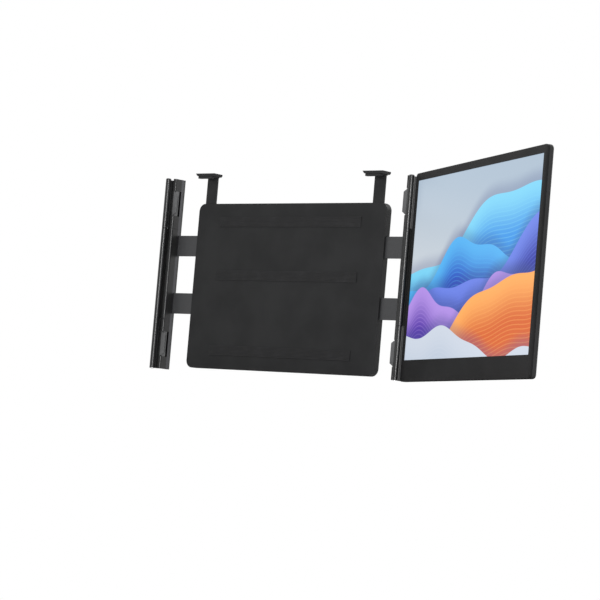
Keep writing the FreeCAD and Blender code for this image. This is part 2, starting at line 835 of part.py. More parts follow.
def rest_pads():
    """Three rubber strips that the lid's back lies on."""
    half_x, half_z = s.rest_pad_width / 2, s.rest_pad_height / 2
    levels = [as_size(0), s.cradle_top - s.rest_pad_inset, s.cradle_bottom + s.rest_pad_inset]
    members = [block(f"rest_pad_{i}", -half_x, half_x, 0, s.rest_pad_thickness, z - half_z, z + half_z)
               for i, z in enumerate(levels)]
    return group("lid_rest_pads", members)


def arm_guides():
    """Four guides that hold the arm tongues: each is a sleeve on the front shell's inner side."""
    gap, wall = s.arm_clearance, s.shell_wall
    front, back = shell_joint, arm_back + gap + s.guide_back_wall
    end = cradle_half - wall - s.touch_gap
    start = end - s.guide_length
    members = []
    for i, (side, sign) in enumerate(((1, 1), (1, -1), (-1, 1), (-1, -1))):
        x0, x1 = spans(side, start, end)
        level, half = sign * s.arm_level, s.arm_height / 2 + gap
        outer = block(f"guide_outer_{i}", x0, x1, front, back, level - half - wall, level + half + wall)
        inner = block(f"guide_inner_{i}", x0, x1, rail_back - gap, arm_back + gap, level - half, level + half)
        members.append(without(f"guide_{i}", outer, inner))
    return group("arm_guides", members)


def brake_pads():
    """Four felt blocks in the guides' tails that press on the tongues and hold them where they are put."""
    members = []
    floor = recess_floor - s.shell_skin
    for i, (side, sign) in enumerate(((1, 1), (1, -1), (-1, 1), (-1, -1))):
        end = cradle_half - s.shell_wall - s.guide_length - 2 * s.touch_gap
        x0, x1 = spans(side, end - s.brake_pad_length, end)
        z0, z1 = sign * s.arm_level - s.brake_pad_height / 2, sign * s.arm_level + s.brake_pad_height / 2
        members.append(block(f"brake_pad_{i}", x0, x1, arm_back + s.touch_gap / 2, floor, z0, z1))
    return group("arm_brake_pads", members)


def cradle_screws():
    start = shell_front + s.front_shell_thickness / 2 + s.touch_gap
    length = s.cradle_back - s.screw_head_height - start
    members = [screw(f"cradle_screw_{i}", "y", x, start, z, length, True)
               for i, (x, z) in enumerate(cradle_screw_spots())]
    return group("cradle_screws", members)


# Kickstand

stand_bottom = s.cradle_bottom + s.stand_foot_lift


def kickstand():
    """A flat leg with two lugs that turn on the stand's pin."""
    body = new_body("kickstand_plate")
    half = s.stand_width / 2
    front, back = recess_floor + s.stand_gap, s.cradle_back
    pad(body, "XZ", [rectangle(-half, stand_bottom + s.stand_foot_height, half, stand_top)], front, back)
    pad(body, "YZ", [disc(stand_axis_y, stand_top, s.stand_barrel_radius)], -half, half)
    pocket(body, "YZ", [disc(stand_axis_y, stand_top, s.stand_pin_radius + s.running_gap)], -half, half)
    inset = half - s.stand_panel_inset
    panel = rectangle(-inset, stand_bottom + s.stand_panel_bottom, inset, stand_top - s.stand_panel_top)
    pocket(body, "XZ", [panel], back - s.stand_thickness / 4, back)

    def back_side_edge(middle, box):
        return near(abs(middle.x), half) and near(middle.y, back) and box[2] > 10

    round_edges(body, s.stand_thickness / 4, back_side_edge)
    return body


def kickstand_foot():
    """The rubber edge that stands on the table."""
    body = new_body("kickstand_foot")
    half = s.stand_width / 2
    pad(body, "XZ", [rectangle(-half, stand_bottom, half, stand_bottom + s.stand_foot_height)],
        recess_floor + s.stand_gap, s.cradle_back)
    round_edges(body, s.stand_thickness / 3, lambda m, b: near(m.z, stand_bottom) and b[0] > 10)
    return body


def kickstand_pin():
    half = recess_half + s.stand_pin_seat - s.touch_gap
    return rod("kickstand_pin", "x", -half, stand_axis_y, stand_top, s.stand_pin_radius, 2 * half)


# Monitor, in its own frame: origin on the hinge axis, X towards the far edge, front face towards -Y

m_top = s.monitor_height / 2
m_back = s.monitor_front + s.monitor_thickness
bezel_back = s.monitor_front + s.bezel_depth
cover_front = bezel_back + s.groove
view_left = s.display_start
view_right = s.monitor_reach - s.side_rim
view_low = s.chin - m_top
view_high = m_top - s.top_rim
glass_front = s.monitor_front + s.bezel_lip
panel_front = glass_front + s.glass_thickness
guide_front = panel_front + s.panel_thickness
tray_front = guide_front + s.guide_thickness
tray_back = tray_front + s.tray_thickness
cavity_left = s.monitor_start + s.hinge_wall
cavity_right = s.monitor_reach - s.cover_wall
cavity_top = m_top - s.cover_wall
bracket_front = m_back - s.cover_skin - s.bracket_thickness - s.touch_gap
board_low = s.cover_wall - m_top + s.touch_gap
board_high = view_low - s.glass_lap - s.board_margin
board_front = cover_front + s.touch_gap
arm_root_back = m_back - s.cover_bevel - s.hinge_skin - s.touch_gap
board_back = board_front + s.board_thickness
board_left = cavity_left + s.board_start
board_right = board_left + s.board_length
data_sockets = [(cavity_left + s.data_socket_place + i * s.data_socket_pitch, s.data_socket_width / 2)
                for i in range(2)]
video_sockets = [(cavity_left + s.video_socket_place, s.video_socket_width / 2)]
socket_top = board_low + s.socket_depth - s.cover_wall
speaker_places = [s.monitor_reach - s.speaker_place, s.monitor_reach - s.speaker_place - s.speaker_pitch]
power_key = (cavity_left + s.power_button_place, s.power_button_width / 2)
menu_key = (cavity_left + s.menu_button_place, s.menu_button_width / 2)
button_low = board_low + s.button_lift
button_high = button_low + s.button_height
monitor_middle = (s.monitor_start + s.monitor_reach) / 2
screw_web = (monitor_middle - s.monitor_screw_web / 2, monitor_middle + s.monitor_screw_web / 2)


def monitor_screw_spots():
    side, inset = s.monitor_reach - s.monitor_screw_side, m_top - s.monitor_screw_inset
    return [(side, inset), (monitor_middle, inset), (s.monitor_screw_start, inset),
            (side, -inset), (monitor_middle, -inset)]


def monitor_outline():
    return rectangle(s.monitor_start, -m_top, s.monitor_reach, m_top)


def round_monitor_corners(body):
    def corner(middle, box):
        at_side = near(middle.x, s.monitor_start) or near(middle.x, s.monitor_reach)
        return at_side and near(abs(middle.z), m_top) and box[1] > 0.4

    round_edges(body, s.monitor_corner, corner)


def cavity_outline():
    return rectangle(cavity_left, -cavity_top, cavity_right, cavity_top)


def bezel_frame():
    """The front frame: thin rim, wide chin, and a lip over the glass."""
    body = new_body("bezel_frame")
    pad(body, "XZ", [monitor_outline()], s.monitor_front, bezel_back)
    round_monitor_corners(body)
    front = float(s.monitor_front)
    round_edges(body, s.bezel_round, lambda m, b: near(m.y, front))
    lap = s.glass_lap
    seat = rectangle(view_left - lap, view_low - lap, view_right + lap, view_high + lap)
    pocket(body, "XZ", [seat], glass_front, bezel_back)
    pocket(body, "XZ", [rectangle(view_left, view_low, view_right, view_high)], s.monitor_front, glass_front)
    room_top = view_low - lap - s.bezel_wall
    chin_rooms = [rectangle(view_left, -cavity_top, screw_web[0], room_top),
                  rectangle(screw_web[1], -cavity_top, view_right, room_top)]
    pocket(body, "XZ", chin_rooms, s.monitor_front + s.bezel_wall, bezel_back)
    holes = [disc(x, z, s.screw_hole_radius) for x, z in monitor_screw_spots()]
    pocket(body, "XZ", holes, s.monitor_front + s.bezel_wall / 2, bezel_back)
    half = s.bracket_height / 2 + s.touch_gap
    pocket(body, "XZ", [rectangle(s.monitor_start, -half, view_left - lap, half)], glass_front, bezel_back)
    return body


def rear_cover():
    """The back tray with its bevelled hinge edge, inner tongue, socket mouths and speaker slots."""
    body = new_body("rear_cover")
    pad(body, "XZ", [monitor_outline()], cover_front, m_back)
    round_monitor_corners(body)
    round_edges(body, s.cover_round, lambda m, b: near(m.y, m_back))
    bevel = [(s.monitor_start, m_back - s.cover_bevel), (s.monitor_start + s.cover_bevel, m_back),
             (s.monitor_start, m_back)]
    pocket(body, "XY", [bevel], -m_top, m_top)
    inset, cut = s.groove_depth, s.tongue_corner
    x0, x1, z0, z1 = s.monitor_start + inset, s.monitor_reach - inset, inset - m_top, m_top - inset
    tongue = [(x0, z0 + cut), (x0 + cut, z0), (x1 - cut, z0), (x1, z0 + cut), (x1, z1 - cut),
              (x1 - cut, z1), (x0 + cut, z1), (x0, z1 - cut)]
    pad(body, "XZ", [tongue], bezel_back, cover_front)
    pocket(body, "XZ", [cavity_outline()], bezel_back, m_back - s.cover_skin)
    half = s.bracket_height / 2 + s.touch_gap
    pocket(body, "XZ", [rectangle(s.monitor_start, -half, cavity_left, half)], bezel_back,
           arm_root_back + s.touch_gap)
    gap, skin = s.touch_gap, m_back - s.cover_skin
    step = s.bracket_step + 2 * gap
    pocket(body, "XZ", [rectangle(cavity_left - step, -half, cavity_left, half)], bezel_back, skin)
    mouths = [rectangle(x - half_width - gap, -m_top, x + half_width + gap, -cavity_top)
              for x, half_width in data_sockets + video_sockets]
    pocket(body, "XZ", mouths, board_front - gap, board_front + s.socket_height + gap)
    slot_half = s.speaker_slot_length / 2
    slots = []
    for x in speaker_places:
        for i in range(int(float(s.speaker_slots))):
            low = button_low - s.speaker_slot_pitch + i * s.speaker_slot_pitch
            slots.append(rectangle(x - slot_half, low, x + slot_half, low + s.speaker_slot_width))
    pocket(body, "XZ", slots, skin, m_back)
    holes = [disc(x, z, s.screw_hole_radius) for x, z in monitor_screw_spots()]
    pocket(body, "XZ", holes, bezel_back, m_back)
    heads = [disc(x, z, s.screw_head_radius + gap) for x, z in monitor_screw_spots()]
    pocket(body, "XZ", heads, m_back - s.screw_head_height, m_back)
    for x, half_width in (power_key, menu_key):
        mouth = rectangle(x - half_width - gap, button_low - gap, x + half_width + gap, button_high + gap)
        pocket(body, "XZ", [mouth], skin, m_back)
    return body


def slab(label, x0, x1, z0, z1, y0, y1):
    body = new_body(label)
    pad(body, "XZ", [rectangle(x0, z0, x1, z1)], y0, y1)
    return body


def display_stack():
    """Glass, panel, light guide, lamp strip and backlight tray, from front to back."""
    lap = s.glass_lap - s.touch_gap
    x0, x1, z0, z1 = view_left - lap, view_right + lap, view_low - lap, view_high + lap
    tray_wall = s.tray_thickness
    tray = new_body("backlight_tray")
    pad(tray, "XZ", [rectangle(x0, z0, x1, z1)], guide_front, tray_back)
    inner = rectangle(x0 + tray_wall, z0 + tray_wall, x1 - tray_wall, z1 - tray_wall)
    pocket(tray, "XZ", [inner], guide_front, tray_front)
    inset = tray_wall + s.touch_gap
    strip_top = z0 + inset + s.lamp_strip_height
    gx0, gx1, gz0, gz1 = x0 + inset, x1 - inset, strip_top + s.touch_gap, z1 - inset
    keep(slab("display_glass", x0, x1, z0, z1, glass_front, panel_front),
         slab("lcd_panel", x0, x1, z0, z1, panel_front, guide_front),
         slab("light_guide", gx0, gx1, gz0, gz1, guide_front, tray_front),
         slab("lamp_strip", gx0, gx1, z0 + inset, strip_top, guide_front, tray_front),
         tray)


def hinge_bracket():
    """The monitor's middle barrel, its arm, and the leaf that is screwed to the rear cover inside."""
    body = new_body("hinge_bracket")
    radius = s.barrel_radius
    pad(body, "XY", [disc(0, 0, radius)], -middle_top, middle_top)
    half = s.bracket_height / 2
    gap, thick = s.touch_gap, s.bracket_thickness
    neck_front, neck_back = glass_front + gap, arm_root_back
    root_x, step, reach = s.monitor_start - gap, cavity_left - s.bracket_step, cavity_left + s.bracket_reach
    root = [(-radius / 2, 0), (root_x, 0), (root_x, neck_back), (radius / 4, neck_back),
            (-radius / 2, 1.2 * radius)]
    pad(body, "XY", [root], -middle_top, middle_top)
    leaf = [(root_x, neck_front), (step + thick, neck_front), (step + thick, bracket_front),
            (reach, bracket_front), (reach, bracket_front + thick), (step, bracket_front + thick),
            (step, neck_back), (root_x, neck_back)]
    pad(body, "XY", [leaf], -half, half)
    cut_bearing_bores(body)
    return body


def driver_board():
    """The board in the chin, notched round its sockets, with a chip behind each and the key switches."""
    body = new_body("driver_board")
    pad(body, "XZ", [rectangle(board_left, board_low, board_right, board_high)], board_front, board_back)
    gap = s.touch_gap
    notches = [rectangle(x - half_width - gap, board_low, x + half_width + gap, socket_top + gap)
               for x, half_width in data_sockets + video_sockets]
    pocket(body, "XZ", notches, board_front, board_back)
    chip_low, chip_high, half = socket_top + s.chip_inset, board_high - s.chip_inset, s.chip_width / 2
    chips = [rectangle(x - half, chip_low, x + half, chip_high) for x, _ in data_sockets + video_sockets]
    pad(body, "XZ", chips, board_back, board_back + s.chip_height)
    middle, half = (button_low + button_high) / 2, s.switch_width / 2
    switches = [rectangle(x - half, middle - half, x + half, middle + half) for x, _ in (power_key, menu_key)]
    pad(body, "XZ", switches, board_back, board_back + s.switch_height)
    return body


def sockets(label, places):
    """Hollow metal shells on the board, with a tongue in each, open at the monitor's bottom edge."""
    y0, y1 = board_front, board_front + s.socket_height
    z0, z1 = s.socket_recess - m_top, socket_top
    wall, space = s.socket_wall, s.socket_height * 0.38
    members = []
    for i, (x, half) in enumerate(places):
        outer = block(f"{label}_outer_{i}", x - half, x + half, y0, y1, z0, z1)
        inner = block(f"{label}_inner_{i}", x - half + wall, x + half - wall, y0 + wall, y1 - wall,
                      z0, z1 - wall)
        tongue = block(f"{label}_tongue_{i}", x - half + space, x + half - space, y0 + space, y1 - space,
                       z0 + space, z1)
        shell = without(f"{label}_shell_{i}", outer, inner)
        members.append(joined(f"{label}_{i}", [shell, tongue]))
    return group(label, members)


def speakers():
    """Two flat boxes behind the slots in the rear cover."""
    y0, y1 = cover_front + s.touch_gap, m_back - s.cover_skin - s.touch_gap
    half = s.speaker_length / 2
    members = [block(f"speaker_case_{i}", x - half, x + half, y0, y1, board_low, board_high)
               for i, x in enumerate(speaker_places)]
    return group("speakers", members)


def button(label, x, half_width):
    """A key with a flange inside the cover, that travels towards the board."""
    body = new_body(label)
    back = m_back - s.cover_skin - s.touch_gap
    front = back - s.button_flange_thickness
    flange = s.button_flange
    pad(body, "XZ", [rectangle(x - half_width, button_low, x + half_width, button_high)],
        front, m_back + s.button_proud)
    pad(body, "XZ", [rectangle(x - half_width - flange, button_low - flange, x + half_width + flange,
                               button_high + flange)], front, back)
    round_edges(body, s.button_proud / 2, lambda m, b: near(m.y, m_back + s.button_proud))
    return body


def monitor_screws():
    start = s.monitor_front + s.bezel_wall / 2 + s.touch_gap
    length = m_back - s.screw_head_height - start
    members = [screw(f"monitor_screw_{i}", "y", x, start, z, length, True)
               for i, (x, z) in enumerate(monitor_screw_spots())]
    return group("monitor_screws", members)


def mount_on_hinge(thing):
    """Stands a monitor piece on the right hinge axis, turned towards the user."""
    place(thing, axis_x, axis_y)
    thing.Placement.Rotation = FreeCAD.Rotation(FreeCAD.Vector(0, 0, 1), -float(s.monitor_turn))
    bind(thing, "Placement.Rotation.Angle", -s.monitor_turn)


# The whole assembly

for column_side in (1, -1):
    build_column(column_side)
keep(blank_barrel(-1))
for column_side in (1, -1):
    for jaw_end in ("upper", "lower"):
        keep(jaw(column_side, jaw_end), jaw_pad(column_side, jaw_end))
    keep(hook(column_side), hook_pad(column_side))
keep(front_shell(), rear_shell(), rest_pads(), arm_guides(), brake_pads(), cradle_screws())
keep(kickstand(), kickstand_foot(), kickstand_pin())

monitor_first = len(pieces)
keep(bezel_frame(), rear_cover())
display_stack()
keep(hinge_bracket(), driver_board(), sockets("usb_sockets", data_sockets),
     sockets("video_socket", video_sockets), speakers(), monitor_screws(),
     button("power_button", *power_key), button("menu_button", *menu_key))
doc.recompute()
for piece in pieces[monitor_first:]:
    mount_on_hinge(piece)
doc.recompute()

for thing in doc.Objects:
    if "Invalid" in thing.State or "Error" in thing.State:
        raise RuntimeError(f"{thing.Label} failed: {thing.State}")
for piece in pieces:
    if piece.Shape.isNull() or not piece.Shape.isValid():
        raise RuntimeError(f"{piece.Label} has no valid shape")

os.makedirs("parts", exist_ok=True)
for piece in pieces:
    piece.Shape.exportStep(f"parts/{piece.Label}.step")
print(len(pieces), "pieces written")
for piece in pieces:
    box = piece.Shape.BoundBox
    limits = (box.XMin, box.XMax, box.YMin, box.YMax, box.ZMin, box.ZMax)
    print(piece.Label, len(piece.Shape.Solids), [round(v, 1) for v in limits])
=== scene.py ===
# %% [markdown]
# # Screen extender
# The part is a cradle with a column at each side, and a monitor that swings on the right column. The solids
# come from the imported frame, in metres, and they stay where they are. This lesson gives each of them its
# finish, and makes the few pieces that need more detail than a solid has: the screws, the ribbed rubber
# strips, the ribbed foot and the contacts in the sockets.

# %% Load the frame
import json
import math

import bmesh
import bpy
from mathutils import Matrix, Vector


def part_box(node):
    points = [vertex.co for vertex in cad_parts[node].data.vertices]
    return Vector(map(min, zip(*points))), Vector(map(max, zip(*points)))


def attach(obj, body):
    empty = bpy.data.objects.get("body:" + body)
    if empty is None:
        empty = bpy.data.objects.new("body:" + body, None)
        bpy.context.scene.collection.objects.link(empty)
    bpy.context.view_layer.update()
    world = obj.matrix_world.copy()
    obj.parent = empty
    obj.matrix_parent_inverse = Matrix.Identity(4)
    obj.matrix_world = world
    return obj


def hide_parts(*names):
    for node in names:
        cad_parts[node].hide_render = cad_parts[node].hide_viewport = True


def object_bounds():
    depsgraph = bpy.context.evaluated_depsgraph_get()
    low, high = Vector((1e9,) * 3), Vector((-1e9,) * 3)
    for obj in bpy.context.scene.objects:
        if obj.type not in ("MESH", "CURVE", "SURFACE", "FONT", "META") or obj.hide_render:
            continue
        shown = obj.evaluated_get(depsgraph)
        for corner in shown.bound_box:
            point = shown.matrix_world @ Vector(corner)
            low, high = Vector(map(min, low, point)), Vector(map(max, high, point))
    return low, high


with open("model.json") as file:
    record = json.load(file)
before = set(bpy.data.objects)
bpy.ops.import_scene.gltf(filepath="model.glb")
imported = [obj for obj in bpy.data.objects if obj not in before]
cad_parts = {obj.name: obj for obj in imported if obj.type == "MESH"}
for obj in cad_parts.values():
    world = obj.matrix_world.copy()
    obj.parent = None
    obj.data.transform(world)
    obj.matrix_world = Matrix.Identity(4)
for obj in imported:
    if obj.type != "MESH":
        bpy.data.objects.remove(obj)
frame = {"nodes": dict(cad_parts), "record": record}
nodes = frame["nodes"]
cad_box = [list(corner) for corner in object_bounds()]
print(len(nodes), "nodes, box", cad_box)

# %% [markdown]
# ## Camera and view
# The camera was solved from corners and edges in the photograph, so its numbers are plain measurements. A
# long lens keeps the uprights nearly parallel. The view transform is Standard, so a colour shows as it is
# written.

# %% Camera
CAMERA_PLACE = (2.02710, -2.27835, -0.23520)
CAMERA_RIGHT = Vector((0.75279, 0.65277, 0.08486))
CAMERA_DOWN = Vector((0.01903, 0.10728, -0.99405))
CAMERA_AHEAD = Vector((-0.65798, 0.74993, 0.06834))
scene = bpy.context.scene
scene.view_settings.view_transform = "Standard"
camera_data = bpy.data.cameras.new("camera")
camera = bpy.data.objects.new("camera", camera_data)
scene.collection.objects.link(camera)
camera_data.sensor_width = 36.0
camera_data.lens = 157.09
camera_data.clip_start = 0.1
camera_data.clip_end = 50.0
turn = Matrix((CAMERA_RIGHT, -CAMERA_DOWN, -CAMERA_AHEAD)).transposed().to_4x4()
camera.matrix_world = Matrix.Translation(CAMERA_PLACE) @ turn
scene.camera = camera
print("lens", camera_data.lens, "mm, at", [round(v, 3) for v in CAMERA_PLACE])

# %% [markdown]
# ## Writing node maths as expressions
# A material is a net of nodes. Written out one by one, even a small formula takes many lines, so a little
# class wraps each socket and turns + - * and / into Math nodes. Every other node comes from one method that
# takes its type, its settings and the values or links of its sockets. The same two classes serve the
# materials, the world and the patterns of Geometry Nodes.

# %% A socket that can be added and multiplied


class Wire:
    """One output socket in a net of nodes."""

    def __init__(self, net, socket):
        self.net = net
        self.socket = socket

    def maths(self, operation, *values):
        return self.net.add("ShaderNodeMath", {"operation": operation}, dict(enumerate(values)))

    def __add__(self, other):
        return self.maths("ADD", self, other)

    def __sub__(self, other):
        return self.maths("SUBTRACT", self, other)

    def __rsub__(self, other):
        return self.maths("SUBTRACT", other, self)

    def __mul__(self, other):
        return self.maths("MULTIPLY", self, other)

    def __truediv__(self, other):
        return self.maths("DIVIDE", self, other)

    def __rtruediv__(self, other):
        return self.maths("DIVIDE", other, self)

    __radd__ = __add__
    __rmul__ = __mul__

    def either(self, other):
        return self.maths("MAXIMUM", self, other)

    def sine(self):
        return self.maths("SINE", self)

    def step_up(self, low, high):
        """0 below low, 1 above high, and a smooth rise between."""
        return self.net.add("ShaderNodeMapRange", {"interpolation_type": "SMOOTHSTEP"},
                            {"Value": self, "From Min": low, "From Max": high})

    def beside(self, output):
        """Another output of the same node."""
        return Wire(self.net, self.socket.node.outputs[output])


print("Wire is ready")

# %% One method for every other node


class Net:
    """A tree of nodes that are all made through one method."""

    def __init__(self, tree):
        self.tree = tree

    def add(self, kind, settings, inputs, output=0):
        node = self.tree.nodes.new(kind)
        for name, value in settings.items():
            setattr(node, name, value)
        for name, value in inputs.items():
            self.feed(node.inputs[name], value)
        return Wire(self, node.outputs[output])

    def feed(self, socket, value):
        if isinstance(value, Wire):
            self.tree.links.new(value.socket, socket)
        elif socket.type == "RGBA" and len(value) == 3:
            socket.default_value = (*value, 1.0)
        else:
            socket.default_value = value


class Finish(Net):
    """A material with its surface shader."""

    def __init__(self, name):
        self.material = bpy.data.materials.new(name)
        self.material.use_nodes = True
        super().__init__(self.material.node_tree)
        self.shader = self.tree.nodes["Principled BSDF"]
        self.object_place = self.add("ShaderNodeTexCoord", {}, {}, "Object")

    def set(self, **values):
        """Feeds the surface shader's sockets: Base_Color stands for Base Color."""
        for name, value in values.items():
            self.feed(self.shader.inputs[name.replace("_", " ")], value)

    def placed(self, scale=(1, 1, 1), turn=(0, 0, 0), location=(0, 0, 0), kind="POINT"):
        return self.add("ShaderNodeMapping", {"vector_type": kind},
                        {"Vector": self.object_place, "Scale": scale, "Rotation": turn, "Location": location})

    def noise(self, scale, detail, roughness, place=None):
        return self.add("ShaderNodeTexNoise", {}, {"Vector": place or self.object_place, "Scale": scale,
                                                   "Detail": detail, "Roughness": roughness})

    def mix(self, factor, a, b):
        return self.add("ShaderNodeMix", {"data_type": "RGBA"}, {0: factor, 6: a, 7: b}, 2)

    def bump(self, height, strength, distance):
        return self.add("ShaderNodeBump", {}, {"Height": height, "Strength": strength, "Distance": distance})


print("Net and Finish are ready")

# %% [markdown]
# ## Moulded plastic
# Every case part of the real product is injection moulded: the mould is spark eroded, which leaves a fine
# even grain, and the plastic itself is black with a faint cloudiness. Three things tell it from flat paint:
# the grain in the normal, a roughness that wanders a little, and a colour that is a touch greyer on some
# areas. One recipe makes all the plastics, and only its numbers change from piece to piece. Black plastic
# mirrors a white room at a low angle, so the large flat pieces have little specular and stay dark, and the
# barrels have more of it.

# %% A recipe for moulded plastic
BROAD_SCALE = 22.0
BROAD_ROUGHNESS, FINE_ROUGHNESS = 0.20, 0.16
GRAIN_DEPTH = 0.25
LEAST_LIFT = 0.002


def moulded(name, colour, roughness, grain=0.35, grain_size=0.0004, specular=0.3, cloud=0.12):
    finish = Finish(name)
    fine = finish.noise(1.0 / grain_size, 3.0, 0.6)
    broad = finish.noise(BROAD_SCALE, 3.0, 0.5)
    lighter = tuple(c * (1.0 + 2 * cloud) + LEAST_LIFT for c in colour)
    darker = tuple(c * (1.0 - cloud) for c in colour)
    finish.set(Base_Color=finish.mix(broad.step_up(0.3, 0.7), darker, lighter),
               Roughness=roughness * (1.0 + (broad - 0.5) * BROAD_ROUGHNESS + (fine - 0.5) * FINE_ROUGHNESS),
               Normal=finish.bump(fine, grain, grain_size * GRAIN_DEPTH), Specular_IOR_Level=specular)
    return finish.material


# name, colour, roughness, the grain's strength, its size in metres, specular, cloudiness
finishes = {
    "shell": moulded("shell_plastic", (0.015, 0.0152, 0.0156), 0.52, 0.55, 0.0006, 0.10, 0.06),
    "column": moulded("column_plastic", (0.0080, 0.0081, 0.0082), 0.28, 0.06, 0.0004, 0.36, 0.06),
    # The jaw is the column's black plastic. Its lighter grey colour is a painted highlight for the light its
    # slanted face reflects.
    "jaw": moulded("jaw_plastic", (0.070, 0.0707, 0.072), 0.40, 0.25, 0.0005),
    "hook": moulded("hook_plastic", (0.015, 0.0152, 0.0156), 0.40, 0.25, 0.0005, 0.12),
    "bezel": moulded("bezel_plastic", (0.0140, 0.0140, 0.0143), 0.50, 0.35, 0.0004, 0.04, 0.06),
    "cover": moulded("cover_plastic", (0.021, 0.0212, 0.0218), 0.46, 0.60, 0.0007, 0.15, 0.06),
    "speaker": moulded("speaker_plastic", (0.02, 0.02, 0.02), 0.6),
    "key": moulded("key_plastic", (0.030, 0.0303, 0.031), 0.32, 0.15, 0.0004),
    "washer": moulded("washer_plastic", (0.010, 0.010, 0.0105), 0.55, 0.15, 0.0003, 0.1),
}
print(len(finishes), "plastics")

# %% [markdown]
# ## Rubber and felt
# The strips, pads and foot are moulded rubber: no gloss, a dusty bloom and a skin of tiny pits. The brakes
# in the cradle are felt: its noise is stretched into fibres, and a sheen lets its edges catch light like
# cloth.

# %% Rubber and felt


def rubber():
    finish = Finish("soft_rubber")
    pits = finish.noise(1800.0, 2.0, 0.5)
    bloom = finish.noise(60.0, 4.0, 0.6).step_up(0.45, 0.75)
    finish.set(Base_Color=finish.mix(bloom * 0.6, (0.016, 0.016, 0.0165), (0.030, 0.030, 0.031)),
               Roughness=0.78 + bloom * 0.12, Normal=finish.bump(pits, 0.5, 0.0001), Specular_IOR_Level=0.2)
    return finish.material


def felt():
    finish = Finish("dark_felt")
    fibres = finish.noise(900.0, 5.0, 0.7, finish.placed((1, 1, 0.25)))
    finish.set(Base_Color=finish.mix(fibres, (0.04, 0.04, 0.043), (0.14, 0.14, 0.148)), Roughness=0.95,
               Sheen_Weight=0.4, Sheen_Roughness=0.5, Normal=finish.bump(fibres, 0.9, 0.0003))
    return finish.material


finishes["rubber"] = rubber()
finishes["felt"] = felt()
print("rubber and felt")

# %% [markdown]
# ## Metals
# The pins are turned on a lathe, so fine rings run round them. The rail is drawn and anodised black, so its
# lines run along it. One recipe makes both, with the noise stretched another way. The arms and the
# kickstand are pressed steel with a baked coat that has the faint waviness called orange peel.

# %% Metal recipes


def drawn_metal(name, colour, roughness, stretch, scale=400.0):
    finish = Finish(name)
    lines = finish.noise(scale, 4.0, 0.6, finish.placed(stretch))
    finish.set(Base_Color=finish.mix(lines, tuple(c * 0.88 for c in colour), colour), Metallic=1.0,
               Roughness=roughness + (lines - 0.5) * 0.2, Normal=finish.bump(lines, 0.25, 0.00004))
    return finish.material


def coated_steel(name, colour, roughness):
    finish = Finish(name)
    peel = finish.noise(500.0, 2.0, 0.4)
    specks = finish.noise(3000.0, 1.0, 0.5)
    finish.set(Base_Color=finish.mix(specks, tuple(c * 0.9 for c in colour), tuple(c * 1.15 for c in colour)),
               Roughness=roughness + (specks - 0.5) * 0.12, Normal=finish.bump(peel, 0.3, 0.0002),
               Specular_IOR_Level=0.35)
    return finish.material


metals = {
    "steel": drawn_metal("turned_steel", (0.56, 0.56, 0.57), 0.25, (0.05, 0.05, 6.0)),
    "rail": drawn_metal("anodised_rail", (0.075, 0.075, 0.08), 0.38, (4.0, 4.0, 0.05)),
    "tray": drawn_metal("tray_sheet", (0.68, 0.68, 0.70), 0.35, (0.05, 4.0, 4.0)),
    "socket": drawn_metal("plated_shell", (0.72, 0.72, 0.74), 0.28, (3.0, 3.0, 0.1)),
    "plate": coated_steel("coated_steel", (0.032, 0.0325, 0.034), 0.42),
    "screw": drawn_metal("black_oxide", (0.10, 0.10, 0.105), 0.40, (1.0, 1.0, 1.0), 1500.0),
}
finishes.update(metals)
print(len(metals), "metals")

# %% [markdown]
# ## The lit picture
# The monitor shows a picture behind a matt film. It's light rather than paint, so it goes to the shader's
# emission, and the film's own black gives the soft reflection. The picture is made of layers like a range
# of dunes: each layer has an edge, a sum of two sines, and lies in front of the one before. It throws a
# soft shade on what is behind it, and fine threads follow its edge. A Mapping node turns the object's
# coordinates into the monitor's own, with X along the screen and Z up, and the numbers are metres there.

# %% The picture's layers
HINGE = (0.1892, -0.01215, 0.0)
TURN = math.radians(-30.45)
SCREEN_MIDDLE = 0.183
SKY_LOW, SKY_HIGH = (0.62, 0.67, 0.72), (0.40, 0.50, 0.61)
SKY_SLOPE, SKY_START, SKY_END = 0.15, -0.02, 0.14
RIPPLE_RATE, RIPPLE_SHARE = 2.3, 0.3
THREAD_PITCH, THREAD_START, THREAD_WEIGHT = 0.0046, 0.02, 0.35
SHADE, SHADE_REACH, SHADE_WEIGHT = (0.03, 0.06, 0.24), 0.018, 0.35
FADE, EDGE_BLUR = 0.05, 0.0003
# edge height at the screen's middle, slope, wave height, wave length, phase, colour at the edge, colour below
LAYERS = [
    (0.046, 0.20, 0.018, 0.36, 0.4, (0.20, 0.66, 0.92), (0.03, 0.30, 0.80)),
    (0.018, 0.12, 0.020, 0.27, 2.2, (0.08, 0.45, 0.90), (0.005, 0.07, 0.55)),
    (-0.008, 0.26, 0.016, 0.31, 3.6, (0.14, 0.22, 0.80), (0.01, 0.02, 0.36)),
    (-0.028, 0.06, 0.018, 0.23, 5.2, (0.45, 0.28, 0.80), (0.09, 0.03, 0.40)),
    (-0.046, 0.30, 0.012, 0.29, 0.9, (1.00, 0.42, 0.10), (0.70, 0.12, 0.01)),
    (-0.076, -0.10, 0.010, 0.25, 2.9, (0.62, 0.68, 0.78), (0.50, 0.58, 0.70)),
]


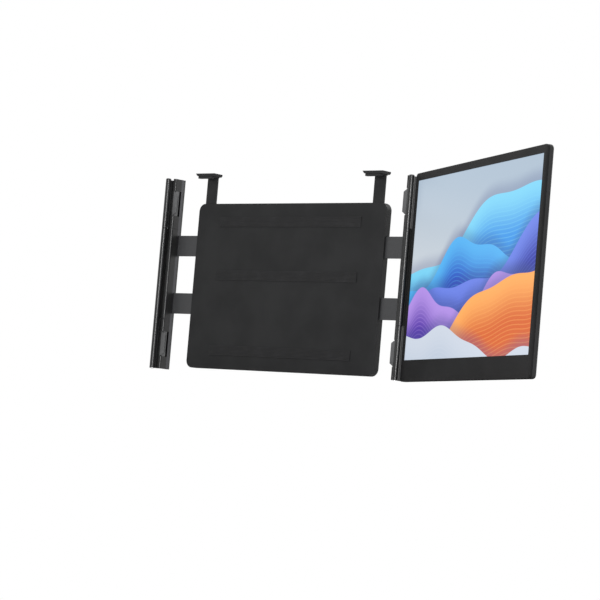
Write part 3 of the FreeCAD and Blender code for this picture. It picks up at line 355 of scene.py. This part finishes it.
def lit_picture():
    finish = Finish("lit_picture")
    place = finish.placed(location=HINGE, turn=(0, 0, TURN), kind="TEXTURE")
    x = finish.add("ShaderNodeSeparateXYZ", {}, {0: place}, "X")
    z = x.beside("Z")
    run = x - SCREEN_MIDDLE
    colour = finish.mix((z + x * SKY_SLOPE).step_up(SKY_START, SKY_END), SKY_LOW, SKY_HIGH)
    for middle, slope, wave, length, phase, near_edge, below in LAYERS:
        turns = run * (math.tau / length)
        ripple = (turns * RIPPLE_RATE + phase * 2).sine() * wave * RIPPLE_SHARE
        edge = middle + run * slope + (turns + phase).sine() * wave + ripple
        depth = edge - z
        colour = finish.mix(depth.step_up(-SHADE_REACH, 0.0) * SHADE_WEIGHT, colour, SHADE)
        threads = (depth * (math.tau / THREAD_PITCH)).sine().step_up(0.5, 1.0)
        threads = threads * depth.step_up(0.0, THREAD_START)
        inside = finish.mix(depth.step_up(0.0, FADE), near_edge, below)
        inside = finish.mix(threads * THREAD_WEIGHT, inside, near_edge)
        colour = finish.mix(depth.step_up(-EDGE_BLUR, EDGE_BLUR), colour, inside)
    finish.set(Base_Color=(0.004, 0.004, 0.004), Roughness=0.30, Specular_IOR_Level=0.15,
               Emission_Color=colour, Emission_Strength=1.0)
    return finish.material


finishes["screen"] = lit_picture()
print(len(LAYERS), "layers in the picture")

# %% [markdown]
# ## What lies inside the monitor
# Nobody sees these unless the case is opened, but each has its own finish of two near tones: a dark liquid
# crystal cell, a pale light guide, a yellowish lamp strip and a green board.

# %% Inner finishes


def inner_finish(name, colour, other, roughness, scale):
    finish = Finish(name)
    pattern = finish.noise(scale, 2.0, 0.5).step_up(0.4, 0.6)
    finish.set(Base_Color=finish.mix(pattern, colour, other), Roughness=roughness + pattern * 0.1)
    return finish.material


finishes["panel"] = inner_finish("liquid_crystal_cell", (0.03, 0.03, 0.04), (0.05, 0.05, 0.06), 0.2, 2500.0)
finishes["guide"] = inner_finish("light_guide", (0.80, 0.84, 0.88), (0.92, 0.94, 0.95), 0.15, 1200.0)
finishes["lamp"] = inner_finish("lamp_strip", (0.92, 0.90, 0.80), (0.85, 0.80, 0.45), 0.4, 260.0)
finishes["board"] = inner_finish("lacquered_board", (0.015, 0.12, 0.06), (0.04, 0.22, 0.10), 0.35, 900.0)
print(len(finishes), "finishes in all")

# %% [markdown]
# ## Every node gets its finish
# The record says which finish each node takes. Only the material changes: the mesh stays as packed.

# %% Dress the nodes
slot_of = {part["node"]: part["material_slot"] for part in frame["record"]["subparts"]}
for name, node in nodes.items():
    node.data.materials.clear()
    node.data.materials.append(finishes[slot_of[name]])
print("dressed", len(nodes), "nodes")

# %% [markdown]
# ## Patterns that repeat
# Screws, ribs and contacts repeat, so Geometry Nodes place them. A pattern is a tree with named inputs for
# its sizes. It ends in Realize Instances and Set Material, so that real triangles leave it, and the result
# is kept as a plain mesh. A modifier's input is set by its socket's identifier, before anything is
# evaluated.

# %% A pattern tree


class Pattern(Net):
    """A Geometry Nodes tree that grows a shape at each point of a mesh."""

    def __init__(self, name):
        super().__init__(bpy.data.node_groups.new(name, "GeometryNodeTree"))
        for direction in ("INPUT", "OUTPUT"):
            self.tree.interface.new_socket("Geometry", in_out=direction, socket_type="NodeSocketGeometry")
        self.start = self.tree.nodes.new("NodeGroupInput")
        self.end = self.tree.nodes.new("NodeGroupOutput")
        self.points = Wire(self, self.start.outputs["Geometry"])
        self.identifiers = {}

    def size(self, name, kind="Float"):
        item = self.tree.interface.new_socket(name, in_out="INPUT", socket_type="NodeSocket" + kind)
        self.identifiers[name] = item.identifier
        return Wire(self, self.start.outputs[name])

    def vector(self, x, y, z):
        return self.add("ShaderNodeCombineXYZ", {}, {"X": x, "Y": y, "Z": z})

    def row(self, shape, count, first, pitch):
        """Copies of the shape in a row along X."""
        line = self.add("GeometryNodeMeshLine", {}, {"Count": count, "Start Location": first,
                                                     "Offset": self.vector(pitch, 0.0, 0.0)})
        return self.add("GeometryNodeInstanceOnPoints", {}, {"Points": line, "Instance": shape})

    def close(self, shape, turn):
        """Puts the shape at every point and ends the tree."""
        placed = self.add("GeometryNodeInstanceOnPoints", {}, {"Points": self.points, "Instance": shape,
                                                               "Rotation": turn})
        real = self.add("GeometryNodeRealizeInstances", {}, {"Geometry": placed})
        finish = self.size("Finish", "Material")
        painted = self.add("GeometryNodeSetMaterial", {}, {"Geometry": real, "Material": finish})
        self.feed(self.end.inputs[0], painted)

    def grow(self, name, spots, place, sharp, **values):
        """A plain mesh object with the pattern at each spot, moved by the matrix place."""
        seeds = bpy.data.meshes.new(name + "_spots")
        seeds.from_pydata(spots, [], [])
        piece = bpy.data.objects.new(name, seeds)
        scene.collection.objects.link(piece)
        modifier = piece.modifiers.new("pattern", "NODES")
        modifier.node_group = self.tree
        for key, value in values.items():
            modifier[self.identifiers[key.replace("_", " ")]] = value
        done = piece.evaluated_get(bpy.context.evaluated_depsgraph_get())
        mesh = bpy.data.meshes.new_from_object(done)
        piece.modifiers.clear()
        piece.data = mesh
        mesh.name = name
        mesh.transform(place)
        mesh.shade_smooth()
        mesh.set_sharp_from_angle(angle=math.radians(sharp))
        print(name, len(mesh.polygons), "faces")
        return piece


print("Pattern is ready")

# %% [markdown]
# ## Screws with a cross recess
# A pan head is a profile turned round its axis, and the recess is a cross with slightly leaning walls. The
# head's top is the region between the circle and the cross. Each screw was driven home by hand, so each has
# its own angle, from one fixed seed.

# %% The form of a screw
SCREW_SIDES = 40
MM = 0.001
# in millimetres: radius and height round the head, and the corners of a quarter of the cross
HEAD = [(1.25, 0.0), (1.52, -0.06), (1.66, -0.22), (1.70, -0.45), (1.70, -0.90), (0.95, -0.90)]
CROSS = [(0.95, 0.20), (0.20, 0.20), (0.20, 0.95)]
CROSS_DEPTH, CROSS_LEAN = -0.62, 0.72
SHANK_RADIUS, TIP_RADIUS, TIP_LENGTH = 0.95, 0.45, 0.6


def screw_form(name, length):
    """A screw along -Y in metres, with the top of its head at the origin."""
    form = bmesh.new()
    angles = [math.tau * i / SCREW_SIDES for i in range(SCREW_SIDES)]
    profile = HEAD + [(SHANK_RADIUS, TIP_LENGTH - length), (TIP_RADIUS, -length)]
    rings = [[form.verts.new((r * math.cos(a) * MM, y * MM, r * math.sin(a) * MM)) for a in angles]
             for r, y in profile]
    for upper, lower in zip(rings, rings[1:]):
        for i in range(SCREW_SIDES):
            j = (i + 1) % SCREW_SIDES
            form.faces.new((upper[i], upper[j], lower[j], lower[i]))
    form.faces.new(rings[-1])
    cross = []
    for quarter in range(4):
        turned = Matrix.Rotation(quarter * math.pi / 2, 2)
        cross += [turned @ Vector(corner) for corner in CROSS]
    rim = [form.verts.new((x * MM, 0.0, z * MM)) for x, z in cross]
    foot = [form.verts.new((x * CROSS_LEAN * MM, CROSS_DEPTH * MM, z * CROSS_LEAN * MM)) for x, z in cross]
    for i in range(len(rim)):
        j = (i + 1) % len(rim)
        form.faces.new((rim[i], rim[j], foot[j], foot[i]))
    form.faces.new(foot)
    top = [edge for edge in form.edges if len(edge.link_faces) == 1]
    bmesh.ops.triangle_fill(form, use_beauty=True, edges=top)
    bmesh.ops.recalc_face_normals(form, faces=form.faces)
    mesh = bpy.data.meshes.new(name)
    form.to_mesh(mesh)
    form.free()
    return bpy.data.objects.new(name, mesh)


long_screw = screw_form("long_screw", 9.3)
short_screw = screw_form("short_screw", 7.8)
print("a screw has", len(long_screw.data.polygons), "faces")

# %% Make the screws
CRADLE_BACK, CASE_BACK = 0.0112, 0.0132
CRADLE_SCREW_SIDE, CRADLE_SCREW_LEVELS = 0.1395, (0.0795, -0.1055, -0.014)
CASE_SCREWS = [(0.3562, 0.112), (0.1817, 0.112), (0.060, 0.112), (0.3562, -0.112), (0.1817, -0.112)]


def screw_pattern():
    pattern = Pattern("driven_screws")
    seen = pattern.add("GeometryNodeObjectInfo", {}, {"Object": pattern.size("Screw", "Object")}, "Geometry")
    limits = {"Min": 0.0, "Max": math.pi, "Seed": pattern.size("Seed", "Int")}
    angle = pattern.add("FunctionNodeRandomValue", {"data_type": "FLOAT"}, limits, 1)
    pattern.close(seen, pattern.vector(0.0, angle, 0.0))
    return pattern


to_monitor = Matrix.Translation(HINGE) @ Matrix.Rotation(TURN, 4, "Z")
screws = screw_pattern()
cradle_spots = [(sign * CRADLE_SCREW_SIDE, CRADLE_BACK, z) for z in CRADLE_SCREW_LEVELS for sign in (1, -1)]
monitor_spots = [(x, CASE_BACK, z) for x, z in CASE_SCREWS]
cradle_screws = screws.grow("cross_head_screws", cradle_spots, Matrix(), 35, Screw=long_screw, Seed=4,
                            Finish=finishes["screw"])
monitor_screws = screws.grow("case_cross_head_screws", monitor_spots, to_monitor, 35, Screw=short_screw,
                             Seed=9, Finish=finishes["screw"])
for piece, body, node in ((cradle_screws, "cradle", "cradle_screws"),
                          (monitor_screws, "monitor", "monitor_screws")):
    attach(piece, body)
    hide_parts(node)

# %% [markdown]
# ## Ribbed rubber
# Three strips lie across the cradle's face, with ribs for grip, and the kickstand's foot has the same ribs
# across its edge. One tree makes both: a block, with a row of round ribs half sunk in its face. The rows
# run along the tree's X, the ribs lie along its Z, and they stick out towards its -Y.

# %% Make the ribbed pieces
RIB_SIDES, RIB_END_GAP = 16, 0.0001
PAD_LENGTH, PAD_WIDTH, PAD_THICKNESS = 0.220, 0.012, 0.001
PAD_LEVELS = (0.0, 0.064, -0.090)
QUARTER_TURN = math.pi / 2


def rib_pattern():
    pattern = Pattern("ribbed_rubber")
    span, reach = pattern.size("Span"), pattern.size("Rib length")
    thickness, radius = pattern.size("Thickness"), pattern.size("Rib radius")
    count = pattern.size("Ribs", "Int")
    block = pattern.add("GeometryNodeMeshCube", {}, {"Size": pattern.vector(span, thickness - radius, reach)})
    shift = pattern.vector(0.0, radius * 0.5, 0.0)
    block = pattern.add("GeometryNodeTransform", {}, {"Geometry": block, "Translation": shift})
    pitch = span / count
    first = pattern.vector((pitch - span) * 0.5, radius - thickness * 0.5, 0.0)
    rib = pattern.add("GeometryNodeMeshCylinder", {}, {"Vertices": RIB_SIDES, "Radius": radius,
                                                       "Depth": reach - RIB_END_GAP})
    both = pattern.add("GeometryNodeJoinGeometry", {}, {0: block})
    pattern.feed(both.socket.node.inputs[0], pattern.row(rib, count, first, pitch))
    pattern.close(both, pattern.size("Turn", "Vector"))
    return pattern


ribbed = rib_pattern()
pad_spots = [(0.0, PAD_THICKNESS / 2, z) for z in PAD_LEVELS]
rest_pads = ribbed.grow("ribbed_lid_rests", pad_spots, Matrix(), 40, Span=PAD_WIDTH, Thickness=PAD_THICKNESS,
                        Rib_length=PAD_LENGTH, Rib_radius=0.0004, Ribs=8, Turn=(0.0, QUARTER_TURN, 0.0),
                        Finish=finishes["rubber"])
foot_low, foot_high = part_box("kickstand_foot")
foot_size = foot_high - foot_low
foot_spots = [tuple((foot_low + foot_high) / 2)]
foot = ribbed.grow("ribbed_foot", foot_spots, Matrix(), 40, Span=foot_size.x, Thickness=foot_size.z,
                   Rib_length=foot_size.y, Rib_radius=0.0011, Ribs=40, Turn=(QUARTER_TURN, 0.0, 0.0),
                   Finish=finishes["rubber"])
for piece, body, node in ((rest_pads, "cradle", "lid_rest_pads"), (foot, "kickstand", "kickstand_foot")):
    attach(piece, body)
    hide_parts(node)

# %% [markdown]
# ## Contacts in the sockets
# Each socket has a tongue, and gilded contacts lie on both its faces. They are 0.03 mm proud of it.

# %% Make the contacts
CONTACT_THICKNESS, CONTACT_LENGTH, CONTACT_LEVEL = 0.00006, 0.0040, -0.1132
TONGUE_FACES = (0.00904, 0.00976)
# where the sockets' middles lie, and the number and pitch of the contacts in a row
SOCKETS = {
    "data_socket_contacts": ((0.069, 0.085), 12, 0.0005),
    "picture_socket_contacts": ((0.104,), 10, 0.0008),
}


def contact_pattern():
    pattern = Pattern("contact_rows")
    pitch, count = pattern.size("Pitch"), pattern.size("Contacts", "Int")
    first = pattern.vector(pitch * (count - 1.0) * -0.5, 0.0, 0.0)
    bar = pattern.add("GeometryNodeMeshCube", {}, {"Size": pattern.size("Bar", "Vector")})
    pattern.close(pattern.row(bar, count, first, pitch), pattern.vector(0.0, 0.0, 0.0))
    return pattern


contacts = contact_pattern()
gilt = drawn_metal("gilt_contacts", (0.83, 0.60, 0.25), 0.25, (1.0, 1.0, 1.0), 1500.0)
for name, (middles, count, pitch) in SOCKETS.items():
    rows = [(x, y, CONTACT_LEVEL) for x in middles for y in TONGUE_FACES]
    piece = contacts.grow(name, rows, to_monitor, 40, Pitch=pitch, Contacts=count,
                          Bar=(pitch * 0.5, CONTACT_THICKNESS, CONTACT_LENGTH), Finish=gilt)
    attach(piece, "monitor")

# %% [markdown]
# ## World and floor
# The part stands on a pale floor that keeps its shadow. The camera is a little lower than the part's foot,
# so the floor is drawn from above only, and from below it lets the eye through. The world is white to the
# camera, to mirrors and through glass, and a plain grey to everything else.

# %% World and floor
WHITE, AMBIENT = (1.0, 1.0, 1.0), (0.35, 0.35, 0.35)
FLOOR_SIDES, FLOOR_RADIUS, FLOOR_FADE, FLOOR_GAP = 96, 3.0, (0.6, 2.6), 0.0004


def make_world():
    world = bpy.data.worlds.new("studio")
    world.use_nodes = True
    net = Net(world.node_tree)
    seen = net.add("ShaderNodeLightPath", {}, {}, "Is Camera Ray")
    glossy, through = seen.beside("Is Glossy Ray"), seen.beside("Is Transmission Ray")
    background = net.tree.nodes["Background"]
    net.feed(background.inputs["Color"], WHITE)
    grey = net.add("ShaderNodeBackground", {}, {"Color": AMBIENT})
    shown = net.add("ShaderNodeMixShader", {}, {0: seen.either(glossy).either(through), 1: grey,
                                                2: Wire(net, background.outputs[0])})
    net.feed(net.tree.nodes["World Output"].inputs["Surface"], shown)
    scene.world = world


def make_floor(level):
    mesh = bpy.data.meshes.new("floor")
    angles = [math.tau * i / FLOOR_SIDES for i in range(FLOOR_SIDES)]
    ring = [(FLOOR_RADIUS * math.cos(a), FLOOR_RADIUS * math.sin(a), level) for a in angles]
    mesh.from_pydata(ring, [], [tuple(range(FLOOR_SIDES))])
    floor = bpy.data.objects.new("floor", mesh)
    scene.collection.objects.link(floor)
    finish = Finish("floor")
    behind = finish.add("ShaderNodeNewGeometry", {}, {}, "Backfacing")
    away = finish.add("ShaderNodeVectorMath", {"operation": "LENGTH"}, {0: finish.object_place}, "Value")
    finish.set(Base_Color=(0.86, 0.86, 0.86), Roughness=0.9, Specular_IOR_Level=0.0)
    clear = finish.add("ShaderNodeBsdfTransparent", {}, {})
    shown = finish.add("ShaderNodeMixShader", {}, {0: behind.either(away.step_up(*FLOOR_FADE)),
                                                   1: Wire(finish, finish.shader.outputs[0]), 2: clear})
    finish.feed(finish.tree.nodes["Material Output"].inputs["Surface"], shown)
    mesh.materials.append(finish.material)


make_world()
make_floor(cad_box[0][2] - FLOOR_GAP)
print("floor at", round(cad_box[0][2] - FLOOR_GAP, 4))

# %% [markdown]
# ## Soft boxes
# Four soft boxes light the part like a product on a table, and all of them face its origin. The strip
# stands near the camera, at the angle where each barrel mirrors it as a bright line.

# %% Soft boxes


def soft_box(name, place, width, height, watts):
    data = bpy.data.lights.new(name, "AREA")
    data.shape = "RECTANGLE"
    data.size = width
    data.size_y = height
    data.energy = watts
    lamp = bpy.data.objects.new(name, data)
    scene.collection.objects.link(lamp)
    lamp.location = place
    lamp.rotation_euler = (-Vector(place)).to_track_quat("-Z", "Y").to_euler()
    lamp.visible_camera = False


# name, place, width, height, watts
LAMPS = [
    ("key", (-0.5, -2.0, 2.1), 1.2, 1.0, 24),
    ("strip", (1.46, -2.03, 0.17), 0.60, 0.8, 42),
    ("top", (0.1, 0.3, 2.0), 1.6, 1.6, 24),
    ("back", (0.6, 2.2, 1.2), 1.4, 1.4, 30),
]
for lamp in LAMPS:
    soft_box(*lamp)
print(len(LAMPS), "soft boxes")

# %% [markdown]
# ## The end

# %% The end
print("the end")
